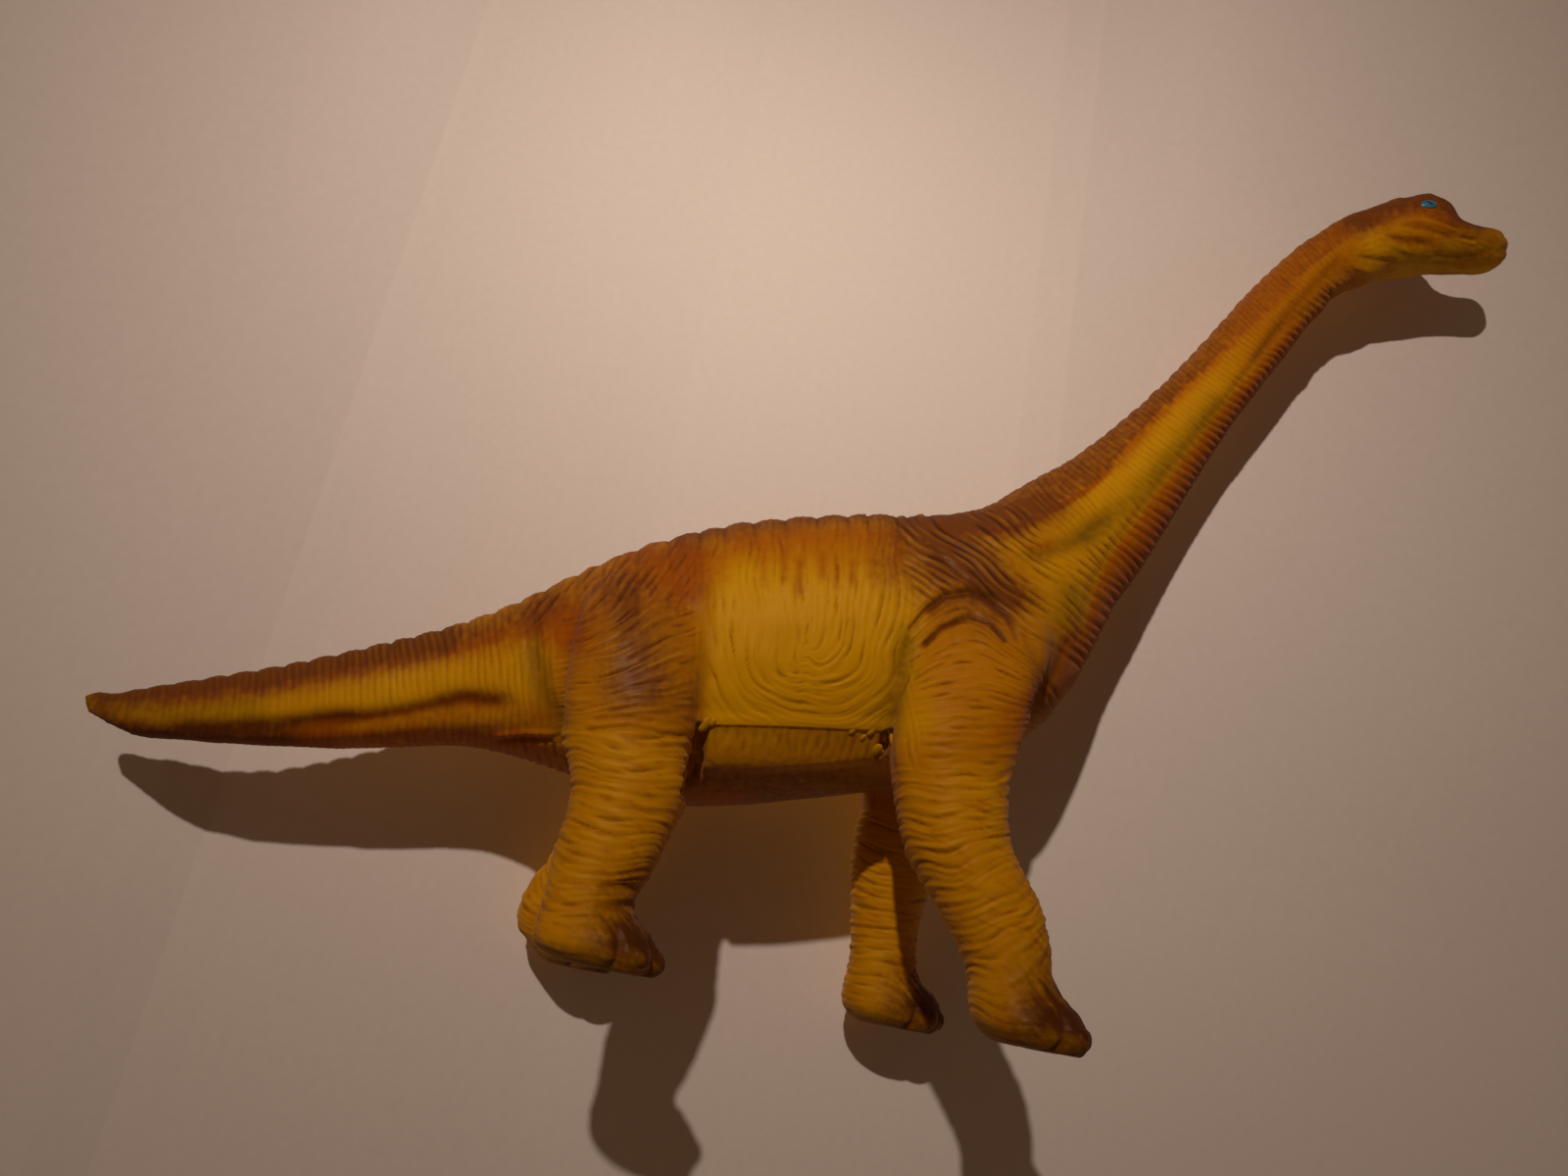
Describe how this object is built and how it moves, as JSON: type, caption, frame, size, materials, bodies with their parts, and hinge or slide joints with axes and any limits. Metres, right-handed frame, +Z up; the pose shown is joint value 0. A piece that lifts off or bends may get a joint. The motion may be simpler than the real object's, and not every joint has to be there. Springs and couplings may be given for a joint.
{
  "type": "toy dinosaur figure",
  "caption": "Long-necked toy dinosaur in a walking pose: hollow vinyl body open at the belly, a glued belly plate and legs plugged into sockets.",
  "frame": {"origin": "on the floor under the middle of the standing figure's length and width", "axes": "+X towards the head, +Y towards the figure's left side, +Z up; the figure stands on its soles at z = 0"},
  "size_m": [0.2998, 0.0715, 0.2206],
  "materials": {
    "body_vinyl": "soft vinyl, mustard yellow with brown and orange sprayed shading, satin",
    "belly_vinyl": "soft vinyl, brown-yellow, faintly pebbled, satin",
    "leg_vinyl": "soft vinyl, mustard yellow with dark brown sprayed toes, satin"
  },
  "bodies": {
    "root": {"body_shell": "body_vinyl", "belly_plate": "belly_vinyl", "fore_leg_right": "leg_vinyl", "fore_leg_left": "leg_vinyl", "hind_leg_right": "leg_vinyl", "hind_leg_left": "leg_vinyl"}
  },
  "joints": []
}
